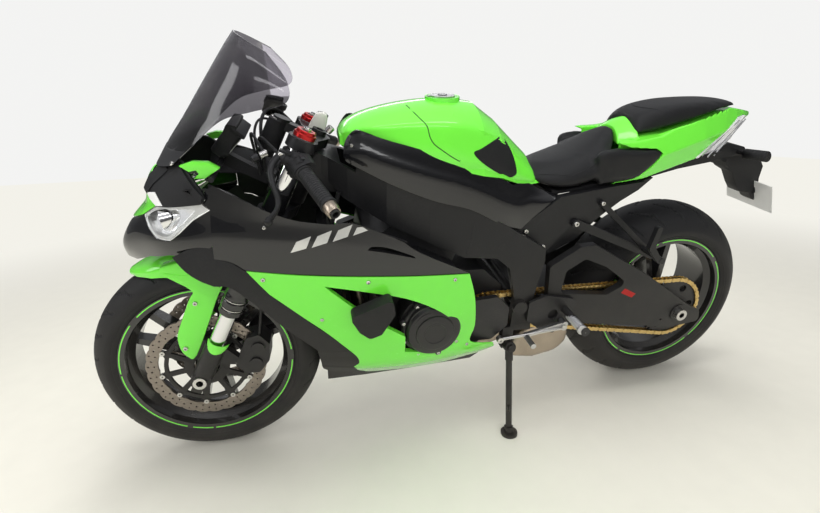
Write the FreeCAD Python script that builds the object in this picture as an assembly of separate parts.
"""A faired sport motorcycle on its side stand, one STEP solid set per sub-part.

Every piece is drawn on the upright bike: origin under the rear axle on the
floor, +X forward, +Y to the left, +Z up, millimetres. The steered pieces are
drawn in a frame of their own, with the fork upright and the front axle at its
origin. At the end the whole bike leans onto its stand.
"""

import FreeCAD
import Part
import math
import os

V = FreeCAD.Vector

# Driving dimensions
WHEELBASE = 1425.0
RAKE = 25.0
TRAIL = 107.0
LEAN = 13.0
REST_STEER = -4.86
STEER_LOCK = 27.0

FRONT_TYRE_RADIUS = 302.0
FRONT_TYRE_HALF = 60.0
FRONT_CROWN = 62.0
FRONT_RIM_HALF = 50.0
REAR_TYRE_RADIUS = 325.0
REAR_TYRE_HALF = 95.0
REAR_CROWN = 100.0
REAR_RIM_HALF = 78.0
BEAD_RADIUS = 218.0
FLANGE_RADIUS = 228.0
FLANGE_THICK = 4.5
SEAT_GAP = 0.3

# Fork, in the fork's own frame
FORK_HALF = 107.0
FORK_OFFSET = 30.2
OUTER_TUBE_RADIUS = 27.0
STANCHION_RADIUS = 21.5
FORK_TOP = 700.0
OUTER_TUBE_LOW = 262.0
FOOT_TOP = 108.0
AXLE_RADIUS = 12.5
AXLE_BORE = 9.0
LOWER_CLAMP = (470.0, 505.0)
UPPER_CLAMP = (672.0, 698.0)
BAR_CLAMP = (628.0, 660.0)
STEM_RADIUS = 15.0
STEM_BORE = 9.0
HEADSTOCK_RADIUS = 36.0
HEADSTOCK_BORE = 20.0
BEARING_DEPTH = 14.0

FENDER_RADIUS = 326.0
FENDER_HALF = 76.0
FENDER_FRONT = 33.0
FENDER_REAR = 125.0

# Chain drive
CHAIN_Y = 115.0
CHAIN_PITCH = 15.875
REAR_TEETH = 40
FRONT_TEETH = 17
FRONT_SPROCKET = V(655, CHAIN_Y, 412)
CHAIN_HEIGHT = 14.0
SPROCKET_HALF = 3.6
PLATE_INNER = 3.9
PLATE_OUTER = 9.0

# Frame and swingarm
PLATE_IN = 128.0
PLATE_OUT = 150.0
PIVOT = V(566, 0, 429)
ARM_IN = 131.0
ARM_OUT = 153.0
REAR_AXLE = V(0, 0, REAR_TYRE_RADIUS)
SPOOL = V(62, 0, 308)
SPOOL_RADIUS = 4.0
SPOOL_DEPTH = 16.0
FRONT_AXLE = V(WHEELBASE, 0, FRONT_TYRE_RADIUS)

# Side stand
STAND_PIVOT = V(592, 165, 306)
STAND_FOOT = V(600, 240, 0)
STAND_AXIS = V(0, 1, 0.23).normalize()
STAND_PIN = 6.0
HEAD_CLEARANCE = 6.0
STAND_FOLD = 90.0

PANEL = 3.5

shapes = {}


def keep(name, *solids):
    """Stores the solids of one sub-part, as one compound when they are several."""
    flat = []
    for solid in solids:
        flat.extend(solid.Solids)
    shapes[name] = flat[0] if len(flat) == 1 else Part.makeCompound(flat)


def box(x0, x1, y0, y1, z0, z1):
    return Part.makeBox(x1 - x0, y1 - y0, z1 - z0, V(x0, y0, z0))


def rod(start, end, radius):
    axis = end - start
    return Part.makeCylinder(radius, axis.Length, start, axis)


def tube(start, end, outer, inner):
    return rod(start, end, outer).cut(rod(start, end, inner))


def across(x, z, y0, y1, radius):
    """A round bar that lies across the bike."""
    return Part.makeCylinder(radius, y1 - y0, V(x, y0, z), V(0, 1, 0))


def fuse(*solids):
    first = solids[0]
    return first.fuse(list(solids[1:])).removeSplitter()


def mirror(shape):
    return shape.mirror(V(0, 0, 0), V(0, 1, 0))


def pair(shape):
    """The piece and its twin on the other side."""
    return Part.makeCompound([shape, mirror(shape)])


def polygon(points):
    return Part.makePolygon([*points, points[0]])


def side_prism(outline, y0, y1):
    """A side-view outline of (x, z) points, carried across the bike."""
    face = Part.Face(polygon([V(x, y0, z) for x, z in outline]))
    return face.extrude(V(0, y1 - y0, 0))


def plan_prism(outline, z0, z1):
    """A top-view outline of (x, y) points, carried upwards."""
    face = Part.Face(polygon([V(x, y, z0) for x, y in outline]))
    return face.extrude(V(0, 0, z1 - z0))


def plan_band(outer, thick, z0, z1):
    """An upright wall that follows an outer line seen from above."""
    inner = [(x, y - thick) for x, y in reversed(outer)]
    return plan_prism([*outer, *inner], z0, z1)


def rounded(points, radius):
    """A closed wire through flat points with each corner rounded."""
    edges = []
    count = len(points)
    starts = []
    ends = []
    for i in range(count):
        here = points[i]
        back = points[i - 1] - here
        ahead = points[(i + 1) % count] - here
        half = back.getAngle(ahead) / 2
        reach = min(radius / math.tan(half), back.Length * 0.45, ahead.Length * 0.45)
        bisector = back.normalize() + ahead.normalize()
        true_radius = reach * math.tan(half)
        centre = here + bisector.normalize() * (true_radius / math.sin(half))
        start = here + back * reach
        end = here + ahead * reach
        middle = centre + (here - centre).normalize() * true_radius
        starts.append(start)
        ends.append(end)
        edges.append(Part.Arc(start, middle, end).toShape())
    for i in range(count):
        gap = starts[(i + 1) % count] - ends[i]
        if gap.Length > 0.01:
            edges.append(Part.makeLine(ends[i], starts[(i + 1) % count]))
    return Part.Wire(Part.__sortEdges__(edges))


def rounded_side(outline, y0, y1, radius):
    """A side-view outline with rounded corners, carried across the bike."""
    face = Part.Face(rounded([V(x, y0, z) for x, z in outline], radius))
    return face.extrude(V(0, y1 - y0, 0))


def loft(wires):
    return Part.makeLoft(wires, True, True)


def arc(start, middle, end):
    return Part.Arc(start, middle, end).toShape()


def ring_profile(points):
    """A ring about the Y axis from (radius, y) points."""
    face = Part.Face(polygon([V(radius, y, 0) for radius, y in points]))
    return face.revolve(V(0, 0, 0), V(0, 1, 0), 360)


def pipe(points, radius, share=0.45):
    """A bent round bar: straight runs joined by tangent arcs."""
    edges = []
    cursor = points[0]
    for before, here, after in zip(points, points[1:], points[2:]):
        back = before - here
        ahead = after - here
        reach = share * min(back.Length, ahead.Length)
        half = back.getAngle(ahead) / 2
        start = here + back.normalize() * reach
        end = here + ahead.normalize() * reach
        bend = reach * math.tan(half)
        centre = here + (back + ahead).normalize() * (bend / math.sin(half))
        middle = centre + (here - centre).normalize() * bend
        edges.append(Part.makeLine(cursor, start))
        edges.append(arc(start, middle, end))
        cursor = end
    edges.append(Part.makeLine(cursor, points[-1]))
    path = Part.Wire(edges)
    section = Part.Wire(Part.makeCircle(radius, points[0], points[1] - points[0]))
    return path.makePipeShell([section], True, False)


def placed(shape, centre):
    moved = shape.copy()
    moved.translate(centre)
    return moved


# Wheels


def tyre(radius, half, crown, rim_half):
    """A radial tyre: round crown, short side walls and beads on the rim."""
    wall = 9.0
    shoulder = radius - crown + math.sqrt(crown**2 - half**2)
    inner_half = half - wall
    inner_crown = crown - wall
    inner_shoulder = radius - crown + math.sqrt(inner_crown**2 - inner_half**2)
    inner_top = radius - crown + math.sqrt(inner_crown**2 - (inner_half / 2) ** 2) - 1
    belly = (shoulder + FLANGE_RADIUS) / 2
    bead = rim_half - wall

    def at(r, y):
        return V(r, y, 0)

    outer = [
        Part.makeLine(at(BEAD_RADIUS + SEAT_GAP, rim_half), at(FLANGE_RADIUS, rim_half)),
        arc(at(FLANGE_RADIUS, rim_half), at(belly, half - 2.5), at(shoulder, half)),
        arc(at(shoulder, half), at(radius, 0), at(shoulder, -half)),
        arc(at(shoulder, -half), at(belly, 2.5 - half), at(FLANGE_RADIUS, -rim_half)),
        Part.makeLine(at(FLANGE_RADIUS, -rim_half), at(BEAD_RADIUS + SEAT_GAP, -rim_half)),
    ]
    inner = [
        Part.makeLine(at(BEAD_RADIUS + SEAT_GAP, -rim_half), at(BEAD_RADIUS + SEAT_GAP, -bead)),
        Part.makeLine(at(BEAD_RADIUS + SEAT_GAP, -bead), at(inner_shoulder, -inner_half)),
        Part.makeLine(at(inner_shoulder, -inner_half), at(inner_top, -inner_half / 2)),
        Part.makeLine(at(inner_top, -inner_half / 2), at(inner_top, inner_half / 2)),
        Part.makeLine(at(inner_top, inner_half / 2), at(inner_shoulder, inner_half)),
        Part.makeLine(at(inner_shoulder, inner_half), at(BEAD_RADIUS + SEAT_GAP, bead)),
        Part.makeLine(at(BEAD_RADIUS + SEAT_GAP, bead), at(BEAD_RADIUS + SEAT_GAP, rim_half)),
    ]
    face = Part.Face(Part.Wire(outer + inner))
    return face.revolve(V(0, 0, 0), V(0, 1, 0), 360)


def rim(rim_half, hub_radius, hub_half, bore, phase):
    """A cast wheel: drop-centre rim, hub and three forked spokes."""
    seat = BEAD_RADIUS - SEAT_GAP
    flange = rim_half + FLANGE_THICK
    face_gap = rim_half + SEAT_GAP
    well = 202.0
    half_profile = [
        (FLANGE_RADIUS, flange),
        (FLANGE_RADIUS, face_gap),
        (seat, face_gap),
        (seat, rim_half - 20),
        (well, rim_half - 30),
    ]
    under = [
        (well - 7, rim_half - 28),
        (seat - 8, rim_half - 14),
        (seat - 7, flange),
    ]
    outer = half_profile + [(r, -y) for r, y in reversed(half_profile)]
    inner = [(r, -y) for r, y in reversed(under)] + under
    barrel = ring_profile(outer + inner)
    hub = Part.makeCylinder(hub_radius, 2 * hub_half, V(0, -hub_half, 0), V(0, 1, 0))
    spokes = []
    for i in range(3):
        for side in (-1, 1):
            root = math.radians(phase + 120 * i + side * 20)
            tip = math.radians(phase + 120 * i + side * 13)
            spokes.append(spoke(root, tip, hub_radius - 8, well - 3, rim_half * 0.9))
    body = fuse(barrel, hub, *spokes)
    return body.cut(Part.makeCylinder(bore, 400, V(0, -200, 0), V(0, 1, 0)))


def spoke(root, tip, start, end, depth):
    """One tapered spoke of oblong section from the hub out to the rim."""
    wires = []
    for angle, radius, width, deep in ((root, start, 24, depth), (tip, end, 17, depth * 0.6)):
        out = V(math.cos(angle), 0, math.sin(angle))
        along = V(-math.sin(angle), 0, math.cos(angle)) * (width / 2)
        half = V(0, deep / 2, 0)
        middle = out * radius
        wires.append(polygon([middle + along + half, middle + along - half, middle - along - half, middle - along + half]))
    return loft(wires)


def wave_disc(outer, inner, thick, waves):
    """A brake disc ring with a scalloped rim, centred on y = 0."""
    ring = Part.makeCylinder(outer, thick, V(0, -thick / 2, 0), V(0, 1, 0))
    cutters = [Part.makeCylinder(inner, 50, V(0, -25, 0), V(0, 1, 0))]
    for i in range(waves):
        angle = math.radians(360 * i / waves)
        centre = V((outer + 12) * math.cos(angle), -25, (outer + 12) * math.sin(angle))
        cutters.append(Part.makeCylinder(16, 50, centre, V(0, 1, 0)))
    return ring.cut(Part.makeCompound(cutters))


FRONT_DISC_Y = 64.0
FRONT_DISC_RADIUS = 155.0
FRONT_HUB_HALF = 52.0


def front_wheel():
    keep(
        "front_tyre",
        tyre(FRONT_TYRE_RADIUS, FRONT_TYRE_HALF, FRONT_CROWN, FRONT_RIM_HALF),
    )
    keep("front_rim", rim(FRONT_RIM_HALF, 34, FRONT_HUB_HALF, AXLE_RADIUS + SEAT_GAP, 30))
    rings = wave_disc(FRONT_DISC_RADIUS, 122, 5, 20)
    carrier = ring_profile([(121.5, -3), (121.5, 3), (108, 3), (108, -3)])
    collar = ring_profile([(46, -12), (46, 3), (22, 3), (22, -12)])
    arms = []
    for i in range(6):
        arm = Part.makeBox(68, 6, 18, V(42, -3, -9))
        arm.rotate(V(0, 0, 0), V(0, 1, 0), 60 * i)
        arms.append(arm)
    spider = fuse(carrier, collar, *arms)
    left = [placed(part, V(0, FRONT_DISC_Y, 0)) for part in (rings, spider)]
    keep("front_discs", *left, *[mirror(part) for part in left])


def sprocket(teeth, thick, bore):
    """A chain sprocket with a root circle and one tapered tooth for each link."""
    pitch_radius = CHAIN_PITCH / (2 * math.sin(math.pi / teeth))
    root = pitch_radius - 5.2
    tip = pitch_radius + 4.2
    points = []
    step = 2 * math.pi / teeth
    for i in range(teeth):
        for share, radius in ((-0.30, root), (-0.10, tip), (0.10, tip), (0.30, root)):
            angle = (i + share) * step
            points.append(V(radius * math.cos(angle), -thick / 2, radius * math.sin(angle)))
    blank = Part.Face(polygon(points)).extrude(V(0, thick, 0))
    return blank.cut(Part.makeCylinder(bore, 50, V(0, -25, 0), V(0, 1, 0)))


REAR_DISC_Y = -96.0


def rear_wheel():
    keep(
        "rear_tyre",
        placed(tyre(REAR_TYRE_RADIUS, REAR_TYRE_HALF, REAR_CROWN, REAR_RIM_HALF), REAR_AXLE),
    )
    body = rim(REAR_RIM_HALF, 46, 62, AXLE_RADIUS + SEAT_GAP, 90)
    keep("rear_rim", placed(body, REAR_AXLE))
    ring = wave_disc(110, 84, 5, 16)
    carrier = ring_profile([(86, -3), (86, 3), (80, 3), (80, -3)])
    hub = ring_profile([(34, -3), (34, 33), (26, 33), (26, -3)])
    arms = []
    for i in range(5):
        arm = Part.makeBox(54, 6, 16, V(29, -3, -8))
        arm.rotate(V(0, 0, 0), V(0, 1, 0), 72 * i)
        arms.append(arm)
    disc = fuse(ring, carrier, hub, *arms)
    keep("rear_disc", placed(disc, REAR_AXLE + V(0, REAR_DISC_Y, 0)))
    toothed = sprocket(REAR_TEETH, 2 * SPROCKET_HALF, 30)
    windows = []
    for i in range(6):
        window = Part.makeCylinder(13, 50, V(72, -25, 0), V(0, 1, 0))
        window.rotate(V(0, 0, 0), V(0, 1, 0), 60 * i)
        windows.append(window)
    toothed = toothed.cut(Part.makeCompound(windows))
    cush = ring_profile([(52, -SPROCKET_HALF), (52, 62.3 - CHAIN_Y), (26, 62.3 - CHAIN_Y), (26, -SPROCKET_HALF)])
    keep("rear_sprocket", placed(fuse(toothed, cush), REAR_AXLE + V(0, CHAIN_Y, 0)))


# Front end, drawn with the fork upright and the axle at the origin


def front_end():
    outer = tube(V(0, FORK_HALF, OUTER_TUBE_LOW), V(0, FORK_HALF, FORK_TOP), OUTER_TUBE_RADIUS, STANCHION_RADIUS)
    gaiter = tube(
        V(0, FORK_HALF, OUTER_TUBE_LOW + 16),
        V(0, FORK_HALF, OUTER_TUBE_LOW + 150),
        OUTER_TUBE_RADIUS + 2.5,
        STANCHION_RADIUS,
    )
    stanchion = tube(V(0, FORK_HALF, FOOT_TOP - 20), V(0, FORK_HALF, FORK_TOP - 40), STANCHION_RADIUS, 17)
    cap = rod(V(0, FORK_HALF, FORK_TOP), V(0, FORK_HALF, FORK_TOP + 9), 24)
    hexagon = rod(V(0, FORK_HALF, FORK_TOP + 9), V(0, FORK_HALF, FORK_TOP + 17), 12)
    knob = rod(V(0, FORK_HALF, FORK_TOP + 17), V(0, FORK_HALF, FORK_TOP + 25), 6)
    keep("fork_tubes", pair(fuse(outer, gaiter, stanchion, cap, hexagon, knob)))

    foot = rod(V(0, FORK_HALF, -8), V(0, FORK_HALF, FOOT_TOP), 26.5)
    lug = across(0, 0, FORK_HALF - 17, FORK_HALF + 21, 25)
    pinch = box(-14, 14, FORK_HALF - 17, FORK_HALF + 17, -38, -10)
    ears = side_prism([(-20, 44), (-66, 60), (-66, 82), (-20, 100)], FORK_HALF - 20, FORK_HALF - 2)
    fender_ear = side_prism([(10, 56), (46, 62), (46, 92), (10, 104)], FENDER_HALF, 96)
    foot = fuse(foot, lug, pinch, ears, fender_ear)
    foot = foot.cut(across(0, 0, 0, 200, AXLE_RADIUS + SEAT_GAP))
    foot = foot.cut(rod(V(0, FORK_HALF, FOOT_TOP - 20.2), V(0, FORK_HALF, FOOT_TOP + 5), STANCHION_RADIUS + 0.1))
    foot = foot.cut(across(0, 0, 0, FORK_HALF - 17, 17.2))
    foot = foot.cut(across(0, 0, FORK_HALF + 21, FORK_HALF + 40, 18.5))
    keep("fork_feet", pair(foot))

    axle = across(0, 0, -FORK_HALF - 24, FORK_HALF + 24, AXLE_RADIUS)
    nut = across(0, 0, FORK_HALF + 21.3, FORK_HALF + 28, 17)
    spacer = across(0, 0, FRONT_HUB_HALF + 0.5, FORK_HALF - 17.3, 17)
    axle = fuse(axle, nut, spacer, mirror(spacer))
    keep("front_axle", axle.cut(across(0, 0, -160, 160, AXLE_BORE)))

    keep("triple_clamps", lower_clamp(), upper_clamp())
    handlebars()
    calipers()
    front_fender()
    hoses()


def clamp_plate(z0, z1, grip):
    """A fork clamp: two bosses round the tubes, bridged across the steering stem."""
    stem_x = -FORK_OFFSET
    outline = [
        V(8, FORK_HALF + 10, z0),
        V(30, FORK_HALF - 30, z0),
        V(12, 0, z0),
        V(30, 30 - FORK_HALF, z0),
        V(8, -FORK_HALF - 10, z0),
        V(-26, -FORK_HALF - 6, z0),
        V(stem_x - 32, 0, z0),
        V(-26, FORK_HALF + 6, z0),
    ]
    web = Part.Face(rounded(outline, 14)).extrude(V(0, 0, z1 - z0))
    bosses = [rod(V(0, y, z0), V(0, y, z1), grip) for y in (-FORK_HALF, FORK_HALF)]
    hub = rod(V(stem_x, 0, z0), V(stem_x, 0, z1), 32)
    body = fuse(web, hub, *bosses)
    holes = [rod(V(0, y, z0 - 5), V(0, y, z1 + 5), OUTER_TUBE_RADIUS + 0.1) for y in (-FORK_HALF, FORK_HALF)]
    return body.cut(Part.makeCompound(holes))


def lower_clamp():
    stem_x = -FORK_OFFSET
    stem = rod(V(stem_x, 0, LOWER_CLAMP[0]), V(stem_x, 0, UPPER_CLAMP[0] - 0.2), STEM_RADIUS)
    body = fuse(clamp_plate(*LOWER_CLAMP, 37), stem)
    return body.cut(rod(V(stem_x, 0, 400), V(stem_x, 0, 800), STEM_BORE))


def upper_clamp():
    stem_x = -FORK_OFFSET
    nut = tube(V(stem_x, 0, UPPER_CLAMP[1]), V(stem_x, 0, UPPER_CLAMP[1] + 12), 19, STEM_BORE)
    body = clamp_plate(*UPPER_CLAMP, 35)
    body = body.cut(rod(V(stem_x, 0, 600), V(stem_x, 0, 800), STEM_BORE))
    return fuse(body, nut)


GRIP_IN = V(-28, 198, 648)
GRIP_OUT = V(-95, 293, 632)
BAR_RADIUS = 11.0
BAR_END_BORE = 7.0
BAR_TIP = 28.0


def handlebars():
    along = (GRIP_OUT - GRIP_IN).normalize()
    root = GRIP_IN - along * 62
    clamp = rod(V(0, FORK_HALF, BAR_CLAMP[0]), V(0, FORK_HALF, BAR_CLAMP[1]), 35)
    neck = rod(V(0, FORK_HALF + 20, 646), root, 14)
    bar = rod(root - along * 4, GRIP_OUT + along * BAR_TIP, BAR_RADIUS)
    hole = rod(V(0, FORK_HALF, 600), V(0, FORK_HALF, 700), OUTER_TUBE_RADIUS + 0.1)
    bore = rod(GRIP_OUT - along * 20, GRIP_OUT + along * 40, BAR_END_BORE)
    keep("clip_ons", pair(fuse(clamp, neck, bar).cut(hole).cut(bore)))
    grip = fuse(
        rod(GRIP_IN, GRIP_OUT, 16.5),
        rod(GRIP_IN, GRIP_IN + along * 5, 21),
        rod(GRIP_OUT - along * 6, GRIP_OUT, 18.5),
    )
    keep("grips", pair(grip.cut(rod(GRIP_IN - along, GRIP_OUT + along, BAR_RADIUS + 0.1))))
    housing = rod(GRIP_IN - along * 40, GRIP_IN - along * 0.4, 21)
    block = rod(GRIP_IN + along * -38 + V(-8, 0, 10), GRIP_IN - along * 4 + V(-8, 0, 10), 17)
    perch = GRIP_IN - along * 32 + V(34, 0, 0)
    arm = rod(GRIP_IN - along * 32, perch, 9)
    tip = V(2, 275, 553)
    lever = pipe([perch, V(40, 202, 622), V(14, 238, 604), V(-8, 256, 584), tip], 4.5)
    ball = Part.makeSphere(7.5, tip)
    left = fuse(housing, block, arm, Part.makeSphere(10, perch), lever, ball)
    left = left.cut(rod(GRIP_IN - along * 80, GRIP_IN + along * 5, BAR_RADIUS + 0.1))
    left = left.cut(rod(V(0, FORK_HALF, 600), V(0, FORK_HALF, 760), 35.3))
    left = left.cut(shapes["clip_ons"])
    left = max(left.Solids, key=lambda solid: solid.Volume)
    cup = rod(V(100, -150, 664), V(110, -150, 706), 22)
    lid = rod(V(110, -150, 706), V(112.5, -150, 716), 24)
    stalk = rod(perch_mirror(perch), V(101, -150, 670), 7)
    keep("hand_controls", left, fuse(mirror(left), cup, stalk, lid))
    lock = rod(V(66, 0, 612), V(66, 0, 702), 22)
    lock = fuse(lock, box(-6, 66, -16, 16, 674, 696))
    bottle = rod(V(-24, -58, UPPER_CLAMP[1]), V(-24, -58, 742), 15)
    shapes["triple_clamps"] = Part.makeCompound(
        [lower_clamp(), fuse(upper_clamp(), lock, bottle)]
    )


def perch_mirror(point):
    return V(point.x, -point.y, point.z)


def calipers():
    """Four-piston radial calipers, each a bridge over its disc."""
    y0 = FRONT_DISC_Y - 30
    y1 = FORK_HALF - 20.5
    outline = [(-64, 128), (-92, 150), (-128, 132), (-146, 84), (-136, 40), (-104, 26), (-68, 40)]
    body = rounded_side(outline, y0, y1, 10)
    slot = box(-200, 0, FRONT_DISC_Y - 5, FRONT_DISC_Y + 5, -60, 400)
    keep_disc = Part.makeCylinder(FRONT_DISC_RADIUS + 4, 10, V(0, FRONT_DISC_Y - 5, 0), V(0, 1, 0))
    body = body.cut(slot.common(keep_disc))
    arms = across(0, 0, FRONT_DISC_Y + 3, FORK_HALF - 30, 60)
    body = body.cut(arms)
    pistons = []
    for x, z in ((-104, 112), (-116, 66)):
        pistons.append(across(x, z, y1, y1 + 5, 17))
    keep("brake_calipers", pair(fuse(body, *pistons)))




def front_fender():
    """A mudguard close over the tyre, with a leg down each fork tube."""
    wall = 3.0

    def section(radius, half, drop):
        return [
            V(radius - drop, half, 0),
            V(radius, 0, 0),
            V(radius - drop, -half, 0),
        ]

    top = section(FENDER_RADIUS, FENDER_HALF, 34)
    low = section(FENDER_RADIUS - wall, FENDER_HALF - wall, 34)
    edges = [
        arc(*top),
        Part.makeLine(top[2], low[2]),
        arc(*reversed(low)),
        Part.makeLine(low[0], top[0]),
    ]
    face = Part.Face(Part.Wire(edges))
    shell = face.revolve(V(0, 0, 0), V(0, 1, 0), FENDER_REAR - FENDER_FRONT)
    shell.rotate(V(0, 0, 0), V(0, 1, 0), -FENDER_REAR)
    cover = rounded_side(
        [(150, 292), (40, 272), (18, 165), (0, 62), (46, 46), (98, 137), (98, 215), (165, 250)],
        FENDER_HALF - wall,
        FENDER_HALF,
        10,
    )
    keep("front_fender", fuse(shell, pair_fused(cover)))


def pair_fused(shape):
    return shape.fuse(mirror(shape))


def hoses():
    """Two brake hoses from a splitter on the lower clamp down to the calipers."""
    left = [
        V(-92, 80, 148.9),
        V(-76, 84, 205),
        V(-54, 86, 272),
        V(-46, 80, 340),
        V(-44, 62, 405),
        V(-28.4, 46.4, 468.4),
    ]
    hose = pipe(left, 3.6)
    keep("brake_hoses", pair(hose))


# Chassis


def steering_line(x_offset, along):
    """A point of the fork's frame in the upright bike, for the straight-ahead fork."""
    return fork_to_bike().multVec(V(x_offset, 0, along))


def fork_to_bike():
    turn = FreeCAD.Rotation(V(0, 1, 0), -RAKE)
    return FreeCAD.Placement(FRONT_AXLE, turn)


SPAR_OUTER = [(1125, 60), (1085, 70), (1040, 98), (950, 142), (840, PLATE_OUT), (500, PLATE_OUT)]
SWEEP_RADIUS = 150.0
SPAR_OUTLINE = [
    (1132, 872),
    (1104, 918),
    (1066, 884),
    (1015, 868),
    (919, 820),
    (825, 779),
    (736, 750),
    (640, 697),
    (596, 668),
    (503, 607),
    (501, 569),
    (524, 448),
    (522, 343),
    (587, 350),
    (581, 456),
    (606, 556),
    (646, 592),
    (741, 606),
    (814, 646),
    (918, 702),
    (1052, 778),
]


def frame():
    spar = side_prism(SPAR_OUTLINE, 20, 200).common(plan_band(SPAR_OUTER, PLATE_OUT - PLATE_IN, 300, 960))
    low = steering_line(-FORK_OFFSET, LOWER_CLAMP[1] + 5.7)
    high = steering_line(-FORK_OFFSET, UPPER_CLAMP[0] - 5.7)
    head = rod(low, high, HEADSTOCK_RADIUS)
    neck = side_prism([(1140, 800), (1118, 880), (1092, 900), (1052, 872), (1068, 784)], -66, 66)
    bridge = across(575, 618, -PLATE_IN - 4, PLATE_IN + 4, 22)
    low_bridge = across(545, 372, -PLATE_IN - 4, PLATE_IN + 4, 15)
    axle = across(PIVOT.x, PIVOT.z, -PLATE_OUT - 10, PLATE_OUT + 10, 13)
    nut = across(PIVOT.x, PIVOT.z, PLATE_OUT - 0.5, PLATE_OUT + 12, 21)
    spars = fuse(spar, mirror(spar))
    bridges = fuse(bridge, low_bridge, axle, nut, mirror(nut)).cut(spars)
    stock = fuse(neck, head).cut(rod(low - (high - low), high + (high - low), HEADSTOCK_BORE))
    along = (high - low).normalize()
    for seat in (low, high - along * BEARING_DEPTH):
        stock = stock.fuse(tube(seat, seat + along * BEARING_DEPTH, HEADSTOCK_BORE + 1, STEM_RADIUS + SEAT_GAP))
    sweep = Part.makeCompound(
        [
            rod(high, high + along * 90, SWEEP_RADIUS),
            rod(low - along * 60, low, SWEEP_RADIUS),
        ]
    )
    keep("frame", spars.cut(sweep))
    keep("headstock", stock.cut(spars).cut(sweep))
    keep("frame_bridges", bridges)


def framework():
    """The frame's three pieces together, for what is cut to seat on them."""
    return Part.makeCompound([shapes[name] for name in ("frame", "headstock", "frame_bridges")])


def engine():
    crankcase = rounded_side(
        [(660, 530), (600, 470), (612, 350), (690, 282), (900, 282), (968, 340), (968, 470), (900, 545)],
        -118,
        118,
        18,
    )
    cylinders = rounded_side(
        [(790, 530), (742, 640), (800, 676), (840, 660), (930, 706), (1000, 660), (1010, 590), (955, 480)],
        -121,
        121,
        12,
    )
    wide = rounded_side([(775, 530), (765, 585), (870, 640), (950, 585), (958, 530)], -165, 165, 10)
    sump = rounded_side([(700, 300), (740, 236), (860, 236), (900, 300)], -80, 80, 10)
    body = fuse(crankcase, cylinders, wide, sump)
    body = body.cut(box(560, 748, 97, 130, 300, 540))
    skin = fairing_skin(0)
    stays = []
    for x, z, start in ((905, 590, 150), (775, 318, 110)):
        stay = across(x, z, start, reach(skin, x, z, 6), 6)
        stays.extend([stay, mirror(stay)])
    keep("engine", fuse(body, front_sprocket(), *stays))
    stator = across(846, 449, 118.2, 180, 72)
    rim_face = across(846, 449, 180, 204, 58)
    stator_cap = across(846, 449, 204, 213, 44)
    left = fuse(stator, rim_face, stator_cap).cut(shapes["engine"])
    right = fuse(across(800, 440, -170, -118.2, 80), across(800, 440, -180, -170, 62))
    small = fuse(across(885, 420, -160, -118.2, 46), across(885, 420, -168, -160, 34))
    tail = rounded_side([(740, 475), (640, 478), (604, 440), (604, 380), (650, 340), (740, 345)], 148, 163, 14)
    tail = fuse(tail, across(728, 362, 97.2, 156, 7), across(728, 466, 97.2, 156, 7))
    keep("engine_covers", left, fuse(right, small), tail)


def radiator():
    core = side_prism([(1046, 420), (1074, 412), (1118, 640), (1090, 648)], -165, 165)
    tanks = side_prism([(1042, 424), (1078, 408), (1124, 642), (1086, 652)], 165, 182)
    stay = rod(V(1098, 88, 640), V(1062, 88, 792), 6).cut(framework())
    keep("radiator", fuse(core, tanks, mirror(tanks), stay, mirror(stay)))


def exhaust():
    pipes = []
    for y in (-132, -46, 46, 132):
        inner = y * 0.32
        pipes.append(
            pipe(
                [
                    V(1004, y * 0.85, 610),
                    V(1034, y * 0.85, 560),
                    V(1012, y * 0.80, 400),
                    V(985, y * 0.62, 290),
                    V(920, inner, 222),
                    V(800, inner, 216),
                    V(700, inner, 214),
                ],
                19,
            )
        )
    collector = rod(V(705, 0, 214), V(600, 0, 214), 40)
    link = rod(V(606, 0, 214), V(530, 0, 246), 32)
    headers = fuse(collector, link, *pipes)
    chamber = rounded_side(
        [(560, 204), (472, 186), (392, 198), (356, 228), (350, 268), (380, 300), (467, 318), (530, 290)],
        -102,
        102,
        16,
    )
    can = rod(V(470, -122, 222), V(190, -216, 300), 50)
    mouth = rod(V(250, -201, 276), V(160, -224, 312), 34)
    can = can.cut(rod(V(220, -208, 288), V(150, -226, 316), 36))
    keep("exhaust", fuse(chamber, can, headers).cut(shapes["engine"]))


SWINGARM_OUTLINE = [
    (478, 430),
    (484, 548),
    (393, 602),
    (344, 603),
    (269, 556),
    (149, 483),
    (-30, 352),
    (-84, 322),
    (-90, 281),
    (26, 271),
    (108, 292),
    (354, 340),
    (478, 340),
]
SWINGARM_HOLE = [(440, 455), (430, 528), (372, 562), (300, 528), (215, 462), (280, 430)]


def swingarm():
    arm = rounded_side(SWINGARM_OUTLINE, ARM_IN, ARM_OUT, 14)
    arm = arm.cut(rounded_side(SWINGARM_HOLE, ARM_IN - 5, ARM_OUT + 5, 16))
    cross = rounded_side([(480, 344), (480, 424), (362, 424), (356, 344)], -ARM_IN - 2, ARM_IN + 2, 10)
    hub = across(PIVOT.x, PIVOT.z, -98, 98, 24)
    web = side_prism([(576, 410), (470, 350), (470, 420), (570, 450)], -98, 98)
    boss = across(REAR_AXLE.x, REAR_AXLE.z, ARM_IN, ARM_OUT + 3, 30)
    arms = fuse(arm, boss, mirror(arm), mirror(boss))
    spool = across(SPOOL.x, SPOOL.z, ARM_OUT - SPOOL_DEPTH, ARM_OUT + 20, SPOOL_RADIUS)
    arms = arms.cut(Part.makeCompound([spool, mirror(spool)]))
    arms = arms.cut(across(0, REAR_AXLE.z, -200, 200, AXLE_RADIUS))
    keep("swingarm", arms)
    middle = fuse(cross, hub, web).cut(across(PIVOT.x, PIVOT.z, -200, 200, 13.2))
    keep("swingarm_crossmember", middle.cut(arms))
    keep("rear_axle", rear_axle().cut(across(0, REAR_AXLE.z, -200, 200, AXLE_BORE)).cut(arms))


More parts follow.
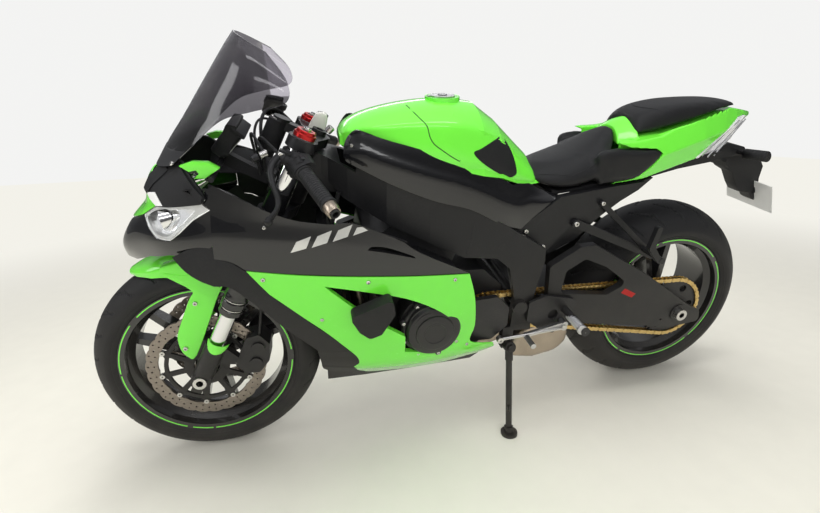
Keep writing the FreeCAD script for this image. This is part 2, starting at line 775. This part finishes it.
def rear_axle():
    bar = across(0, REAR_AXLE.z, -ARM_OUT - 14, ARM_OUT + 14, AXLE_RADIUS)
    nut = across(0, REAR_AXLE.z, ARM_OUT + 3.2, ARM_OUT + 16, 19)
    left_spacer = across(0, REAR_AXLE.z, CHAIN_Y + SPROCKET_HALF + 0.5, ARM_IN + 1, 18)
    right_spacer = across(0, REAR_AXLE.z, -ARM_IN - 1, REAR_DISC_Y - 3.5, 18)
    return fuse(bar, nut, mirror(nut), left_spacer, right_spacer)


def pitch_radius(teeth):
    return CHAIN_PITCH / (2 * math.sin(math.pi / teeth))


def racetrack(grow, y0, y1):
    """The chain loop's outline round both sprockets, grown from the pitch line."""
    small = pitch_radius(FRONT_TEETH) + grow
    big = pitch_radius(REAR_TEETH) + grow
    span = FRONT_SPROCKET.x - REAR_AXLE.x
    rise = FRONT_SPROCKET.z - REAR_AXLE.z
    distance = math.hypot(span, rise)
    slope = math.atan2(rise, span)
    lean_in = math.acos((big - small) / distance)

    def on(centre, radius, angle):
        return V(centre.x + radius * math.cos(angle), y0, centre.z + radius * math.sin(angle))

    top = slope + lean_in
    low = slope - lean_in
    edges = [
        Part.makeLine(on(REAR_AXLE, big, top), on(FRONT_SPROCKET, small, top)),
        arc(
            on(FRONT_SPROCKET, small, top),
            on(FRONT_SPROCKET, small, slope),
            on(FRONT_SPROCKET, small, low),
        ),
        Part.makeLine(on(FRONT_SPROCKET, small, low), on(REAR_AXLE, big, low)),
        arc(on(REAR_AXLE, big, low), on(REAR_AXLE, big, slope + math.pi), on(REAR_AXLE, big, top)),
    ]
    return Part.Face(Part.Wire(edges)).extrude(V(0, y1 - y0, 0))


def chain():
    """The drive chain: a row of plates on each side of the sprockets' teeth,
    joined by the pins and rollers of the two straight runs."""
    half = CHAIN_HEIGHT / 2
    band = racetrack(half, CHAIN_Y + PLATE_INNER, CHAIN_Y + PLATE_OUTER)
    band = band.cut(racetrack(-half, CHAIN_Y, CHAIN_Y + PLATE_OUTER + 1))
    twin = band.mirror(V(0, CHAIN_Y, 0), V(0, 1, 0))
    span = FRONT_SPROCKET.x - REAR_AXLE.x
    rise = FRONT_SPROCKET.z - REAR_AXLE.z
    distance = math.hypot(span, rise)
    slope = math.atan2(rise, span)
    small = pitch_radius(FRONT_TEETH)
    big = pitch_radius(REAR_TEETH)
    lean_in = math.acos((big - small) / distance)
    rollers = []
    for angle in (slope + lean_in, slope - lean_in):
        start = REAR_AXLE + V(math.cos(angle), 0, math.sin(angle)) * big
        end = FRONT_SPROCKET + V(math.cos(angle), 0, math.sin(angle)) * small
        start.y = CHAIN_Y
        run = end - start
        steps = int(run.Length / CHAIN_PITCH)
        for i in range(4, steps - 2, 3):
            middle = start + run * (i * CHAIN_PITCH / run.Length)
            rollers.append(across(middle.x, middle.z, CHAIN_Y - PLATE_OUTER, CHAIN_Y + PLATE_OUTER, 5))
    return fuse(band, twin, *rollers)


def front_sprocket():
    wheel = sprocket(FRONT_TEETH, 2 * SPROCKET_HALF, 12)
    shaft = rod(V(0, 90 - CHAIN_Y, 0), V(0, SPROCKET_HALF + 12, 0), 12.5)
    return placed(fuse(wheel, shaft), FRONT_SPROCKET)


def tank():
    """The fuel tank: arched sections along its length."""
    table = [
        # x, half width, side height, shoulder half width, shoulder height, crown height
        (1052, 52, 905, 46, 925, 932),
        (1015, 86, 898, 76, 945, 964),
        (942, 118, 880, 104, 955, 988),
        (860, 136, 868, 118, 960, 1001),
        (775, 142, 850, 122, 958, 1009),
        (696, 138, 828, 112, 940, 996),
        (634, 118, 812, 92, 905, 950),
        (585, 98, 788, 74, 862, 902),
        (530, 84, 777, 62, 812, 850),
        (506, 76, 776, 58, 792, 806),
    ]
    wires = []
    for x, half, side, shoulder, high, crown in table:
        edges = [
            Part.makeLine(V(x, -half, side), V(x, -shoulder, high)),
            arc(V(x, -shoulder, high), V(x, 0, crown), V(x, shoulder, high)),
            Part.makeLine(V(x, shoulder, high), V(x, half, side)),
            Part.makeLine(V(x, half, side), V(x, -half, side)),
        ]
        wires.append(Part.Wire(edges))
    return loft(wires)


CAP_CENTRE = V(775, 0, 1009)
CAP_RADIUS = 33.0
CAP_HINGE = V(38, 0, 3)
CAP_BARREL = 3.2
CAP_BARREL_HALF = 6.5
NECK_BORE = 20.0
NECK_DEPTH = 90.0


def filler():
    """The filler ring, its neck and the lid that closes it."""
    body = tank()
    seat = rod(CAP_CENTRE + V(0, 0, -8), CAP_CENTRE + V(0, 0, 20), 46.2)
    body = body.cut(seat)
    ring = rod(CAP_CENTRE + V(0, 0, -10), CAP_CENTRE + V(0, 0, 3), 46.5)
    ring = ring.cut(rod(CAP_CENTRE + V(0, 0, -3), CAP_CENTRE + V(0, 0, 20), CAP_RADIUS + 1))
    hinge = CAP_CENTRE + CAP_HINGE
    half = CAP_BARREL_HALF
    room = CAP_BARREL + 1
    notch = box(hinge.x - 8, hinge.x + room, -half - 1, half + 1, hinge.z - room, hinge.z + room)
    body = fuse(body, ring.cut(notch))
    keep("fuel_tank", body.cut(rod(CAP_CENTRE + V(0, 0, -NECK_DEPTH), CAP_CENTRE, NECK_BORE)))
    lid = rod(CAP_CENTRE + V(0, 0, -2.5), CAP_CENTRE + V(0, 0, 6), CAP_RADIUS)
    flap = rod(CAP_CENTRE + V(0, 0, 6), CAP_CENTRE + V(0, 0, 8.5), 12)
    ear = box(CAP_CENTRE.x + CAP_RADIUS - 4, hinge.x, -half, half, hinge.z - 1, hinge.z + 2.4)
    barrel = across(hinge.x, hinge.z, -half, half, CAP_BARREL)
    keep("fuel_cap", fuse(lid, flap, ear, barrel))


COVER_OUTLINE = [
    (1044, 880),
    (1044, 918),
    (1026, 948),
    (1008, 953),
    (957, 932),
    (866, 904),
    (779, 878),
    (690, 836),
    (600, 786),
    (545, 785),
    (505, 763),
    (458, 746),
    (574, 663),
    (640, 690),
    (736, 744),
    (825, 772),
    (919, 813),
    (1015, 862),
]


def tank_covers():
    outer = [(1070, 96), (1040, 118), (980, 142), (880, 158), (760, 160), (640, 146), (550, 122), (450, 112)]
    band = plan_band(outer, 14, 600, 1000)
    piece = side_prism(COVER_OUTLINE, 20, 200).common(band)
    keep("tank_side_covers", pair(piece.cut(tank()).cut(framework())))


# The edge of the rider's seat seen from above, an arc that the tail wraps round.
SEAT_REAR_CENTRE = 400.0
SEAT_REAR_RADIUS = 151.0
HORN_OUTLINE = [
    (330, 880),
    (304, 892),
    (259, 877),
    (171, 869),
    (150, 855),
    (183, 815),
    (230, 784),
    (330, 770),
]
HORN_INNER = 92.0


def seat_round(grow):
    """The round end of the rider's seat, grown outwards for the pieces round it."""
    centre = V(SEAT_REAR_CENTRE, 0, 700)
    return rod(centre, centre + V(0, 0, 300), SEAT_REAR_RADIUS + grow)


def cushion(table, waist):
    """A cushion of arched sections, each narrower at its ridge than at its foot."""
    wires = []
    for x, half, bottom, ridge, crown in table:
        edges = [
            Part.makeLine(V(x, -half, bottom), V(x, -half * waist, ridge)),
            arc(V(x, -half * waist, ridge), V(x, 0, crown), V(x, half * waist, ridge)),
            Part.makeLine(V(x, half * waist, ridge), V(x, half, bottom)),
            Part.makeLine(V(x, half, bottom), V(x, -half, bottom)),
        ]
        wires.append(Part.Wire(edges))
    return loft(wires)


def seats():
    rider = [
        # x, half width, bottom, ridge height, crown
        (545, 66, 790, 796, 802),
        (505, 96, 768, 800, 812),
        (450, 112, 751, 806, 822),
        (396, 118, 757, 816, 838),
        (330, 124, 767, 838, 862),
        (285, 126, 774, 860, 888),
        (240, 124, 781, 884, 908),
    ]
    pillion = [
        (240, 56, 905, 930, 950),
        (190, 78, 902, 950, 970),
        (110, 90, 905, 968, 990),
        (10, 88, 929, 975, 998),
        (-90, 70, 950, 972, 992),
        (-168, 36, 960, 968, 976),
    ]
    whole = cushion(rider, 0.8)
    front = box(SEAT_REAR_CENTRE, 600, -200, 200, 700, 1000)
    seat = whole.common(fuse(seat_round(0), front))
    horn = side_prism(HORN_OUTLINE, HORN_INNER, 200).common(tail_body())
    seat = fuse(seat, horn, mirror(horn))
    seat = seat.cut(tank()).cut(tank().translated(V(-SEAT_GAP, 0, SEAT_GAP)))
    keep("rider_seat", max(seat.Solids, key=lambda solid: solid.Volume))
    keep("pillion_seat", cushion(pillion, 1.0).cut(seat_round(PILLION_SETBACK)))


PILLION_SETBACK = 47.0
TAIL_TABLE = [
    # x, half width, low, high
    (306, 132, 772, 892),
    (200, 128, 780, 900),
    (100, 118, 804, 922),
    (0, 104, 826, 948),
    (-90, 84, 838, 972),
    (-140, 70, 872, 966),
    (-185, 52, 925, 958),
    (-236, 22, 934, 948),
]
BACKREST = [(306, 880), (300, 948), (196, 948), (196, 880)]


def tail_body():
    """The whole tail with its lamp: six-cornered sections along its length."""
    wires = []
    for x, half, low, high in TAIL_TABLE:
        corners = [
            V(x, half * 0.88, low),
            V(x, half, (low + high) / 2),
            V(x, half * 0.84, high),
            V(x, -half * 0.84, high),
            V(x, -half, (low + high) / 2),
            V(x, -half * 0.88, low),
        ]
        wires.append(polygon(corners))
    return loft(wires)


def tail():
    """The tail cowl with the backrest between the seats, and its lamp."""
    section = polygon([V(190, -108, 872), V(190, -72, 950), V(190, 72, 950), V(190, 108, 872)])
    trapezium = Part.Face(section).extrude(V(130, 0, 0))
    backrest = side_prism(BACKREST, -120, 120).common(trapezium)
    bowl_foot = V(SEAT_REAR_CENTRE, 0, 912)
    bowl = Part.makeCone(SEAT_REAR_RADIUS + SEAT_GAP, SEAT_REAR_RADIUS + PILLION_SETBACK, 38, bowl_foot)
    body = fuse(tail_body(), backrest).cut(seat_round(SEAT_GAP)).cut(bowl)
    body = body.cut(shapes["pillion_seat"])
    body = body.cut(shapes["rider_seat"]).cut(shapes["rider_seat"].translated(V(-SEAT_GAP, 0, SEAT_GAP)))
    cavity = box(60, 340, -88, 88, 760, 893)
    body = body.cut(cavity)
    lamp_zone = side_prism(LAMP_SIDE, -200, 200)
    keep("tail_light", max(body.common(lamp_zone).Solids, key=lambda solid: solid.Volume))
    keep("tail_cowl", max(body.cut(lamp_zone).Solids, key=lambda solid: solid.Volume))


LAMP_SIDE = [
    (8, 828),
    (-19, 815),
    (-90, 825),
    (-150, 866),
    (-212, 930),
    (-200, 940),
    (-178, 944),
    (-148, 940),
    (-57, 878),
]
SUBFRAME_IN = 97.0
SUBFRAME_STEP = 108.0
SUBFRAME_OUT = 118.0
PANEL_TOP = [(597, 650), (574, 661), (456, 745), (304, 764), (190, 774), (158, 781)]
INNER_FOOT = [(200, 745), (255, 714), (324, 664), (385, 604), (467, 566), (498, 552)]
COVER_FOOT = [(249, 752), (307, 709), (378, 680), (420, 647), (481, 580), (498, 552)]
PILLION_FOOT = (122, 532)


def strap(start, end, half, y0, y1):
    """A flat bar with round ends between two places seen from the side."""
    run = V(end[0] - start[0], 0, end[1] - start[1]).normalize()
    side = V(-run.z * half, 0, run.x * half)
    corners = []
    for place, turn in ((start, 1), (start, -1), (end, -1), (end, 1)):
        corners.append((place[0] + side.x * turn, place[1] + side.z * turn))
    ends = [across(place[0], place[1], y0, y1, half) for place in (start, end)]
    return fuse(side_prism(corners, y0, y1), *ends)


def subframe():
    inner = side_prism(PANEL_TOP + INNER_FOOT, SUBFRAME_IN, SUBFRAME_STEP)
    cover = side_prism(PANEL_TOP[:-1] + COVER_FOOT, SUBFRAME_STEP, SUBFRAME_OUT)
    rail = fuse(inner, cover)
    links = [across(x, z, -SUBFRAME_STEP, SUBFRAME_STEP, 7) for x, z in ((484, 705), (320, 748))]
    keep("subframe", fuse(rail, mirror(rail), *links).cut(framework()).cut(shapes["tank_side_covers"]))
    tray = rounded_side(
        [
            (470, 742),
            (300, 758),
            (200, 766),
            (60, 796),
            (-60, 812),
            (-96, 826),
            (-90, 842),
            (0, 832),
            (100, 810),
            (200, 786),
            (300, 776),
            (470, 762),
        ],
        -90,
        90,
        3,
    )
    tray = tray.cut(Part.makeCompound([shapes[n] for n in ("tail_cowl", "tail_light", "rider_seat", "subframe")]))
    keep("undertail", max(tray.Solids, key=lambda solid: solid.Volume))


PLATE_TOP = V(-333, 0, 708)
PLATE_LOW = V(-364, 0, 612)
PLATE_HALF = 84.0
HANGER_TOP = [(-56, 812), (-96, 838), (-170, 848), (-235, 836), (-262, 806), (-200, 770), (-150, 798)]
LAMP_STALK = V(-216, 0, 820)
LAMP_RADIUS = 17.0


def plate_place(z):
    """Where the plate's front face lies at a height."""
    share = (z - PLATE_TOP.z) / (PLATE_LOW.z - PLATE_TOP.z)
    return (PLATE_TOP.x + (PLATE_LOW.x - PLATE_TOP.x) * share, z)


def plate_hanger():
    top = rounded_side(HANGER_TOP, -36, 36, 5)
    rear_edge = [plate_place(762), plate_place(638)]
    leg_outline = [(-160, 800), (-262, 806), *rear_edge, (-322, 632), (-259, 676), (-200, 745)]
    leg = rounded_side(leg_outline, -46, 46, 5)
    stalk = across(LAMP_STALK.x, LAMP_STALK.z, -66, 66, 7)
    body = fuse(top, leg, stalk)
    others = [shapes[n] for n in ("tail_cowl", "tail_light", "undertail")]
    body = body.cut(Part.makeCompound(others))
    body = max(body.Solids, key=lambda solid: solid.Volume)
    lamp = rod(LAMP_STALK + V(0, 62, 0), LAMP_STALK + V(-3, 126, 10), LAMP_RADIUS)
    keep("plate_hanger", fuse(body, lamp, mirror(lamp)))
    down = (PLATE_LOW - PLATE_TOP).normalize()
    out = V(down.z, 0, -down.x)
    corners = [
        PLATE_TOP + V(0, -PLATE_HALF, 0),
        PLATE_TOP + V(0, PLATE_HALF, 0),
        PLATE_LOW + V(0, PLATE_HALF, 0),
        PLATE_LOW + V(0, -PLATE_HALF, 0),
    ]
    sheet = Part.Face(polygon(corners)).extrude(out * 2)
    sheet = sheet.cut(shapes["plate_hanger"])
    keep("number_plate", max(sheet.Solids, key=lambda solid: solid.Volume))


# Bodywork


NOSE_LEVELS = [
    # z, tip x, front corner x and y, side x and y, rear x and y
    (628, 1580, 1552, 56, 1520, 92, 1500, 104),
    (680, 1586, 1540, 85, 1478, 138, 1440, 158),
    (730, 1562, 1520, 98, 1445, 166, 1342, 200),
    (785, 1518, 1490, 95, 1432, 150, 1342, 188),
    (840, 1505, 1474, 92, 1418, 140, 1342, 175),
    (896, 1464, 1432, 78, 1392, 126, 1342, 162),
]


def nose_solid(inset):
    wires = []
    for z, tip, front_x, front_y, side_x, side_y, rear_x, rear_y in NOSE_LEVELS:
        fx = front_x - inset
        fy = front_y - inset * 0.5
        sy = side_y - inset
        ry = rear_y - inset
        edges = [
            arc(V(fx, -fy, z), V(tip - inset, 0, z), V(fx, fy, z)),
            Part.makeLine(V(fx, fy, z), V(side_x - inset * 0.6, sy, z)),
            Part.makeLine(V(side_x - inset * 0.6, sy, z), V(rear_x - inset, ry, z)),
            Part.makeLine(V(rear_x - inset, ry, z), V(rear_x - inset, -ry, z)),
            Part.makeLine(V(rear_x - inset, -ry, z), V(side_x - inset * 0.6, -sy, z)),
            Part.makeLine(V(side_x - inset * 0.6, -sy, z), V(fx, -fy, z)),
        ]
        wires.append(Part.Wire(edges))
    return loft(wires)


LAMP_OUTLINE = [(1492, 800), (1458, 830), (1398, 838), (1366, 796), (1420, 722), (1458, 730)]
INTAKE_OUTLINE = [(1600, 690), (1490, 690), (1490, 772), (1600, 800)]


def nose():
    outer = nose_solid(0)
    inner = nose_solid(PANEL + 1)
    inner = inner.fuse(placed(inner, V(0, 0, -30)))
    inner = inner.fuse(box(1300, 1341, -150, 150, 600, 940))
    shell = outer.cut(inner)
    lamps = side_prism(LAMP_OUTLINE, 52, 220)
    mouth = side_prism(INTAKE_OUTLINE, -36, 36)
    cowl = shell.cut(Part.makeCompound([lamps, mirror(lamps), mouth]))
    keep("nose_cowl", max(cowl.Solids, key=lambda solid: solid.Volume))
    thick = outer.cut(nose_solid(26))
    lens = thick.common(side_prism(LAMP_OUTLINE, 52.3, 220))
    lens = max(lens.Solids, key=lambda solid: solid.Volume)
    keep("headlights", lens, mirror(lens))


SCREEN_THICK = 3.2
SCREEN_STATIONS = [
    # centre x and z, edge x, y and z
    (1478, 876, 1414, 138, 898),
    (1446, 929, 1372, 142, 936),
    (1409, 982, 1306, 149, 992),
    (1368, 1045, 1238, 155, 1012),
    (1326, 1109, 1170, 150, 1028),
    (1300, 1148, 1168, 128, 1074),
    (1282, 1173, 1206, 84, 1130),
]


def screen_solid(stations):
    wires = []
    for centre_x, centre_z, x, y, z in stations:
        points = [V(x, y, z), V(centre_x, 0, centre_z), V(x, -y, z)]
        wires.append(Part.Wire([arc(*points), Part.makeLine(points[2], points[0])]))
    return loft(wires)


def screen():
    """A double-bubble windscreen: its outer form less the same form set inwards."""
    t = SCREEN_THICK
    inner = [(cx - t * 0.9, cz - t * 0.5, x - 2, y - t, z - 1) for cx, cz, x, y, z in SCREEN_STATIONS]
    first, second = inner[0], inner[1]
    last, before = inner[-1], inner[-2]
    inner.insert(0, tuple(2 * a - b for a, b in zip(first, second)))
    inner.append(tuple(a + (a - b) * 0.5 for a, b in zip(last, before)))
    return screen_solid(SCREEN_STATIONS).cut(screen_solid(inner)).cut(nose_solid(0))


FAIRING_RAILS = [
    # z, then five points of the panel's outer line seen from above
    (930, (1342, 152), (1280, 168), (1220, 180), (1160, 188), (1100, 192)),
    (905, (1342, 158), (1280, 176), (1220, 188), (1160, 196), (1100, 200)),
    (840, (1342, 175), (1280, 190), (1200, 203), (1120, 208), (1040, 205)),
    (785, (1342, 188), (1260, 205), (1160, 215), (1040, 216), (930, 208)),
    (730, (1342, 200), (1250, 216), (1130, 226), (960, 224), (760, 210)),
    (680, (1342, 204), (1240, 221), (1110, 231), (920, 228), (735, 212)),
    (600, (1330, 200), (1230, 218), (1090, 230), (900, 227), (725, 210)),
    (500, (1260, 190), (1200, 206), (1080, 220), (900, 222), (705, 205)),
    (400, (1190, 170), (1130, 188), (1040, 203), (880, 208), (690, 190)),
    (320, (1160, 140), (1100, 158), (1020, 176), (860, 186), (630, 163)),
    (262, (1130, 105), (1070, 120), (990, 133), (840, 142), (600, 118)),
]


def fairing_skin(inset):
    """The left side skin between its outer surface and a parallel inner one."""
    wires = []
    for z, *points in FAIRING_RAILS:
        outer = [V(x, y - inset, z) for x, y in points]
        inner = [V(x, y - inset - PANEL, z) for x, y in points]
        edges = [
            arc(outer[0], outer[1], outer[2]),
            arc(outer[2], outer[3], outer[4]),
            Part.makeLine(outer[4], inner[4]),
            arc(inner[4], inner[3], inner[2]),
            arc(inner[2], inner[1], inner[0]),
            Part.makeLine(inner[0], outer[0]),
        ]
        wires.append(Part.Wire(edges))
    return loft(wires)


def reach(skin, x, z, radius):
    """How far out a bar across the bike may run before it meets the side skin."""
    nearest = []
    for dx, dz in ((-radius, 0), (radius, 0), (0, -radius), (0, radius)):
        line = Part.makeLine(V(x + dx, 0, z + dz), V(x + dx, 300, z + dz))
        nearest.extend(point.Y for point in line.common(skin).Vertexes)
    return min(nearest) - SEAT_GAP


UPPER_OUTLINE = [
    (1342, 905),
    (1326, 878),
    (1276, 831),
    (1218, 801),
    (1156, 779),
    (1091, 768),
    (1046, 767),
    (1003, 750),
    (932, 715),
    (885, 680),
    (749, 598),
    (883, 616),
    (1028, 636),
    (1163, 654),
    (1279, 670),
    (1306, 690),
    (1342, 700),
]
LOWER_OUTLINE = [
    (1279, 669),
    (1163, 653),
    (1028, 635),
    (883, 615),
    (749, 597),
    (729, 521),
    (719, 426),
    (724, 365),
    (648, 334),
    (641, 320),
    (649, 304),
    (732, 270),
    (928, 264),
    (1010, 268),
    (1044, 326),
    (1031, 347),
    (1036, 373),
    (1055, 402),
    (1103, 465),
    (1171, 540),
    (1234, 604),
]
OPENING_OUTLINE = [
    (1112, 618),
    (1029, 595),
    (919, 557),
    (840, 510),
    (788, 462),
    (772, 439),
    (782, 408),
    (822, 377),
    (862, 365),
    (912, 374),
    (914, 431),
    (981, 487),
    (1053, 556),
]
STRIP_OUTLINE = [
    (1340, 700),
    (1306, 689),
    (1279, 668),
    (1234, 603),
    (1171, 539),
    (1103, 464),
    (1055, 401),
    (1036, 372),
    (1031, 346),
    (1044, 325),
    (1010, 267),
    (1078, 276),
    (1122, 300),
    (1135, 408),
    (1198, 484),
    (1260, 565),
    (1315, 629),
    (1342, 658),
]


def fairings():
    skin = fairing_skin(0)
    upper = skin.common(side_prism(UPPER_OUTLINE, 60, 260))
    keep("upper_side_fairings", pair(upper))
    lower = skin.common(side_prism(LOWER_OUTLINE, 60, 260))
    lower = lower.cut(side_prism(OPENING_OUTLINE, 60, 260))
    keep("lower_fairings", pair(lower))
    strip = skin.common(side_prism(STRIP_OUTLINE, 60, 260))
    strip = strip.cut(side_prism(LOWER_OUTLINE, 50, 270)).cut(side_prism(UPPER_OUTLINE, 50, 270))
    rim_points = [(1110, 100), (1000, 131), (840, 140), (650, 124)]
    wall = 4.0

    keel = 0.16

    def pan_level(z, share, inset):
        side = [V(x, y * share - inset, z) for x, y in rim_points]
        return polygon(side + [V(p.x, -p.y, z) for p in reversed(side)])

    pan = loft([pan_level(150, keel, 0), pan_level(276, 1, 0)])
    pan = pan.cut(loft([pan_level(150 + wall, keel, wall), pan_level(276 + wall, 1, wall)]))
    tabs = []
    for x, y in rim_points[1:3]:
        tab = across(x - 20, 270, y - 9, reach(skin, x - 20, 270, 5), 5)
        tabs.extend([tab, mirror(tab)])
    keep("inner_panels", pair(strip), fuse(pan, *tabs))


def small_parts():
    dash = rounded_side([(1342, 902), (1310, 968), (1286, 962), (1312, 892)], -66, 66, 6)
    stay = side_prism(
        [(1160, 788), (1240, 800), (1345, 862), (1345, 905), (1330, 905), (1316, 880), (1238, 828), (1160, 818)],
        -14,
        14,
    )
    spreader = across(1336, 868, -164.6, 164.6, 6)
    dash = fuse(dash, stay, spreader).cut(framework()).cut(shapes["nose_cowl"])
    keep("instruments", max(dash.Solids, key=lambda solid: solid.Volume))
    puck = rounded_side(
        [(1058, 548), (1022, 561), (956, 584), (951, 543), (984, 492), (1012, 484), (1036, 506)],
        232,
        268,
        12,
    )
    stalk = across(970, 546, 121, 234, 12)
    keep("crash_sliders", pair(fuse(puck, stalk)))


def rearsets():
    plate = rounded_side(
        [(542, 446), (544, 386), (489, 340), (452, 330), (386, 420), (400, 440), (488, 462)], 156, 164, 8
    )
    plate = plate.cut(across(462, 396, 100, 200, 16))
    mounts = [across(x, z, PLATE_OUT, 157, 6) for x, z in ((533, 436), (534, 396))]
    peg = across(425, 408, 163, 265, 11)
    tip = across(425, 408, 262, 268, 13)
    left = fuse(plate, peg, tip, *mounts)
    keep("rearsets", pair(left))
    lever = fuse(
        across(432, 372, 164.2, 186, 9),
        rounded_side([(424, 380), (560, 356), (560, 344), (424, 362)], 176, 184, 4),
        across(552, 350, 180, 228, 8),
    )
    pedal = fuse(
        across(432, 372, -186, -164.2, 9),
        rounded_side([(424, 380), (575, 372), (575, 360), (424, 362)], -186, -178, 4),
        across(568, 366, -226, -180, 8),
    )
    keep("foot_levers", lever, pedal)
    bracket = fuse(
        strap((327, 720), PILLION_FOOT, 8, SUBFRAME_OUT, SUBFRAME_OUT + 10),
        strap((403, 664), PILLION_FOOT, 12, SUBFRAME_OUT, SUBFRAME_OUT + 10),
        across(160, 560, SUBFRAME_OUT, 205, 9),
        rounded_side([(156, 556), (172, 552), (212, 604), (196, 668), (180, 668), (192, 606)], 190, 204, 5),
    )
    shapes["subframe"] = fuse(shapes["subframe"], bracket, mirror(bracket))
    stand_mount = fuse(
        side_prism([(575, 360), (575, 290), (609, 290), (609, 360)], PLATE_IN, PLATE_OUT),
        across(STAND_PIVOT.x, STAND_PIVOT.z, PLATE_IN, PLATE_OUT + 0.5, 16),
        rod(STAND_PIVOT - STAND_AXIS * 17, STAND_PIVOT + STAND_AXIS * 12, STAND_PIN),
        rod(STAND_PIVOT + STAND_AXIS * 11.5, STAND_PIVOT + STAND_AXIS * 17, STAND_PIN + 4),
    )
    shapes["frame"] = fuse(shapes["frame"], stand_mount)
    shock = fuse(rod(V(578, 0, 592), V(450, 0, 430), 18), rod(V(566, 0, 577), V(468, 0, 453), 26))
    others = [shapes[name] for name in ("swingarm", "swingarm_crossmember")]
    keep("rear_shock", shock.cut(framework()).cut(Part.makeCompound(others)))


def chassis():
    frame()
    engine()
    radiator()
    exhaust()
    swingarm()
    keep("chain", chain())
    filler()
    tank_covers()
    seats()
    tail()
    subframe()
    plate_hanger()
    nose()
    keep("screen", screen())
    fairings()
    small_parts()
    rearsets()


# Rest pose


def lowest(placement, centre, axis, ring, section):
    """Height of the lowest point of a leaned tyre, a ring of round section."""
    middle = placement.multVec(centre)
    normal = placement.Rotation.multVec(axis)
    return middle.z - ring * math.sqrt(1 - normal.z**2) - section


def steer_turn():
    """The turn about the steering axis that the fork rests at."""
    foot = V(WHEELBASE + TRAIL, 0, 0)
    tilt = math.radians(RAKE)
    axis = V(-math.sin(tilt), 0, math.cos(tilt))
    return FreeCAD.Placement(V(0, 0, 0), FreeCAD.Rotation(axis, REST_STEER), foot), axis


def rest_pose():
    """The lean, with the small pitch and lift that put both tyres on the floor."""
    steer, axis = steer_turn()
    lean = FreeCAD.Rotation(V(1, 0, 0), -LEAN)
    pitch = 0.0
    lift = 0.0
    for _ in range(6):
        turn = lean.multiply(FreeCAD.Rotation(V(0, 1, 0), pitch))
        pose = FreeCAD.Placement(V(0, 0, lift), turn)
        rear = lowest(pose, REAR_AXLE, V(0, 1, 0), REAR_TYRE_RADIUS - REAR_CROWN, REAR_CROWN)
        steered = pose.multiply(steer)
        front = lowest(steered, FRONT_AXLE, V(0, 1, 0), FRONT_TYRE_RADIUS - FRONT_CROWN, FRONT_CROWN)
        lift -= rear
        pitch += math.degrees((front - rear) / WHEELBASE)
    return pose


STEERED = [
    "fork_tubes",
    "fork_feet",
    "front_axle",
    "triple_clamps",
    "clip_ons",
    "grips",
    "hand_controls",
    "brake_calipers",
    "front_fender",
    "brake_hoses",
    "front_tyre",
    "front_rim",
    "front_discs",
]


def side_stand(pose):
    """The stand, drawn where it stands: hinge lug on the bike, round foot on the floor."""
    hinge = pose.multVec(STAND_PIVOT)
    axis = pose.Rotation.multVec(STAND_AXIS)
    foot = STAND_FOOT
    ankle = foot + V(0, -2, 16)
    knee = hinge + (ankle - hinge) * 0.16
    leg = fuse(rod(hinge, ankle, 9), rod(hinge, knee, 11.5))
    lug = rod(hinge - axis * 9, hinge + axis * 10.4, 17)
    pad = rod(foot, foot + V(0, 0, 7), 24)
    heel = rod(foot + V(0, 0, 7), ankle + V(0, 0, 6), 13)
    tang = rod(hinge + (ankle - hinge) * 0.72, hinge + (ankle - hinge) * 0.72 + V(18, 34, 4), 4.5)
    bore = rod(hinge - axis * 40, hinge + axis * 40, STAND_PIN + SEAT_GAP)
    head_room = rod(hinge + axis * 10.6, hinge + axis * 40, STAND_PIN + 4 + HEAD_CLEARANCE)
    return fuse(leg, lug, pad, heel, tang).cut(bore).cut(head_room), hinge, axis


def assemble():
    """Every sub-part in its rest place, with the joints' points and axes."""
    chassis()
    front_wheel()
    front_end()
    rear_wheel()
    pose = rest_pose()
    steer, steer_axis = steer_turn()
    fork = pose.multiply(steer).multiply(fork_to_bike())
    wheel = fork.multiply(FreeCAD.Placement(V(0, 0, 0), FreeCAD.Rotation(V(0, 1, 0), RAKE)))
    rest = {}
    for name, shape in shapes.items():
        place = fork if name in STEERED else pose
        if name in ("front_tyre", "front_rim", "front_discs"):
            place = wheel
        rest[name] = shape.transformed(place.Matrix, True)
    stand, hinge, hinge_axis = side_stand(pose)
    rest["side_stand"] = stand
    bounds = Part.makeCompound(list(rest.values())).optimalBoundingBox()
    shift = V(-bounds.Center.x, -bounds.Center.y, -bounds.ZMin)
    for name in rest:
        rest[name] = rest[name].transformed(FreeCAD.Placement(shift, FreeCAD.Rotation()).Matrix, True)
    across_axis = pose.Rotation.multVec(V(0, 1, 0))
    joints = {
        "steering": (pose.multVec(V(WHEELBASE + TRAIL, 0, 0)) + shift, pose.Rotation.multVec(steer_axis)),
        "front_axle": (wheel.Base + shift, wheel.Rotation.multVec(V(0, 1, 0))),
        "rear_axle": (pose.multVec(REAR_AXLE) + shift, across_axis),
        "stand_hinge": (hinge + shift, hinge_axis),
        "cap_hinge": (pose.multVec(CAP_CENTRE + CAP_HINGE) + shift, across_axis),
    }
    frames = {"bike": pose, "fork": fork, "shift": shift}
    return rest, joints, frames


def main():
    os.makedirs("parts", exist_ok=True)
    rest, joints, frames = assemble()
    for name, shape in rest.items():
        if not shape.isValid():
            print("not valid:", name)
        print(name, len(shape.Solids), round(shape.Volume / 1000), "cm3")
        shape.exportStep(f"parts/{name}.step")
    print("shift", *[round(c, 4) for c in frames["shift"]])
    for name, (point, axis) in joints.items():
        print("joint", name, [round(c, 3) for c in point], [round(c, 6) for c in axis])


if __name__ == "__main__":
    main()
